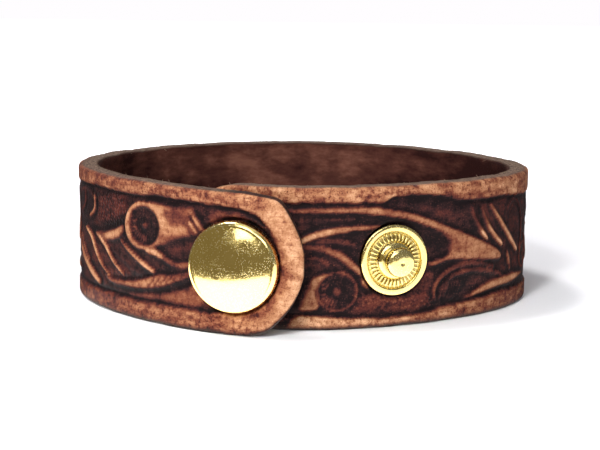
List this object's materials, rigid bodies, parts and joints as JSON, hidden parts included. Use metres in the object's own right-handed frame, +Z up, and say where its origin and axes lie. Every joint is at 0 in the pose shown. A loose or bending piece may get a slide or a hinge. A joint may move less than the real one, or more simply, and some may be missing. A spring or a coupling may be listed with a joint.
{
  "type": "cuff bracelet",
  "caption": "Tooled leather cuff bracelet whose round end laps over the other and is held by a brass snap, with a spare stud for a tighter fit.",
  "frame": {"origin": "on the surface that the loop stands on, under the middle of the whole object", "axes": "+Z up along the wrist axis, -Y towards the snap fastening, +X towards the spare stud"},
  "size_m": [0.067, 0.0706, 0.019],
  "materials": {
    "tooled_leather": "tooled, antiqued dark in the recesses and rubbed to tan on the high parts",
    "brass": "polished, bright"
  },
  "bodies": {
    "root": {"strap": "tooled_leather", "snap_cap": "brass", "snap_socket": "brass", "near_stud": "brass", "near_post": "brass", "far_stud": "brass", "far_post": "brass"}
  },
  "joints": []
}
